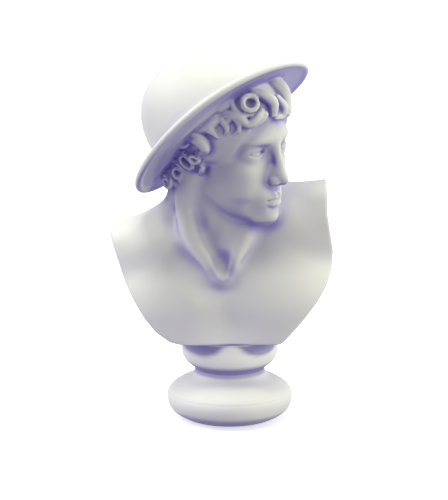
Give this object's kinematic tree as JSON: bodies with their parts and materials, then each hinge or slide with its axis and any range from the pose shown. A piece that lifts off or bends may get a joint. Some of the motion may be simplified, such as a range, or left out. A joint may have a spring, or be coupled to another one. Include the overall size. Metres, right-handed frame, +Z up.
{
  "type": "resin mercury figurine",
  "caption": "Matte white cast bust of a young Mercury in a round travelling hat, head turned aside, cut square at the chest, on a turned round socle.",
  "frame": {"origin": "centre of the flat underside of the socle, which stands on the table", "axes": "+Z up, the chest faces -Y, the face is turned towards +X"},
  "size_m": [0.183, 0.161, 0.3028],
  "materials": {
    "bust_resin": "matte white cast resin",
    "socle_resin": "matte white cast resin, turned rings"
  },
  "bodies": {
    "root": {"bust": "bust_resin", "socle": "socle_resin"}
  },
  "joints": []
}
